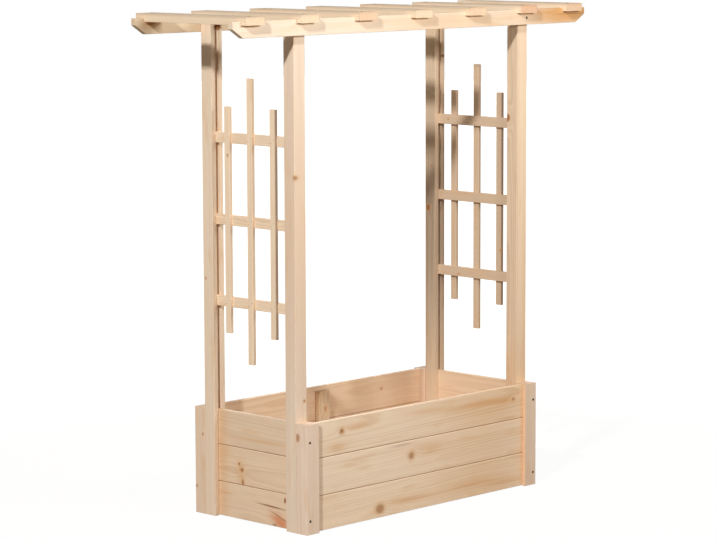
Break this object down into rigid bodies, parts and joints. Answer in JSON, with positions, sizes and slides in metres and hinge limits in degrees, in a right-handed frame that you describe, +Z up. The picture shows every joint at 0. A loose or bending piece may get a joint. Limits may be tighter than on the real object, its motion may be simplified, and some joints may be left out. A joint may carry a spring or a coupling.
{
  "type": "planter with trellis",
  "caption": "Free-standing timber planter: tongue-and-groove trough, grooved uprights, trellis panels at both ends and a slatted roof on notched beams.",
  "frame": {"origin": "on the ground under the middle of the planter's bounding box", "axes": "+Z up, +X along the front to the right as seen from the front, +Y from the front to the back"},
  "size_m": [1.364, 0.426, 1.3473],
  "materials": {
    "frame_timber": "planed softwood, untreated, matt",
    "plank_timber": "planed softwood, untreated, matt, with knots",
    "trellis_timber": "planed softwood, untreated, matt",
    "roof_timber": "planed softwood, untreated, matt",
    "inner_timber": "sawn softwood, untreated",
    "screw_metal": "zinc-plated, tarnished, on the screws and brads"
  },
  "bodies": {
    "root": {"back_plank_bottom": "plank_timber", "back_plank_middle": "plank_timber", "back_plank_top": "plank_timber", "corner_post_back_left": "frame_timber", "corner_post_back_right": "frame_timber", "corner_post_front_left": "frame_timber", "corner_post_front_right": "frame_timber", "floor_bearer_back": "inner_timber", "floor_bearer_front": "inner_timber", "floor_board_1": "inner_timber", "floor_board_2": "inner_timber", "floor_board_3": "inner_timber", "floor_board_4": "inner_timber", "floor_board_5": "inner_timber", "floor_board_6": "inner_timber", "floor_board_7": "inner_timber", "floor_board_8": "inner_timber", "front_plank_bottom": "plank_timber", "front_plank_middle": "plank_timber", "front_plank_top": "plank_timber", "left_plank_bottom": "plank_timber", "left_plank_middle": "plank_timber", "left_plank_top": "plank_timber", "left_trellis_bar_back": "trellis_timber", "left_trellis_bar_front": "trellis_timber", "left_trellis_bar_middle": "trellis_timber", "left_trellis_rail_high": "trellis_timber", "left_trellis_rail_low": "trellis_timber", "left_trellis_rail_middle": "trellis_timber", "right_plank_bottom": "plank_timber", "right_plank_middle": "plank_timber", "right_plank_top": "plank_timber", "right_trellis_bar_back": "trellis_timber", "right_trellis_bar_front": "trellis_timber", "right_trellis_bar_middle": "trellis_timber", "right_trellis_rail_high": "trellis_timber", "right_trellis_rail_low": "trellis_timber", "right_trellis_rail_middle": "trellis_timber", "roof_beam_back": "roof_timber", "roof_beam_front": "roof_timber", "roof_slat_1": "roof_timber", "roof_slat_2": "roof_timber", "roof_slat_3": "roof_timber", "roof_slat_4": "roof_timber", "roof_slat_5": "roof_timber", "roof_slat_6": "roof_timber", "roof_slat_7": "roof_timber", "upright_back_left": "frame_timber", "upright_back_right": "frame_timber", "upright_front_left": "frame_timber", "upright_front_right": "frame_timber", "wall_cleat_back": "inner_timber", "wall_cleat_front": "inner_timber"}
  },
  "joints": []
}
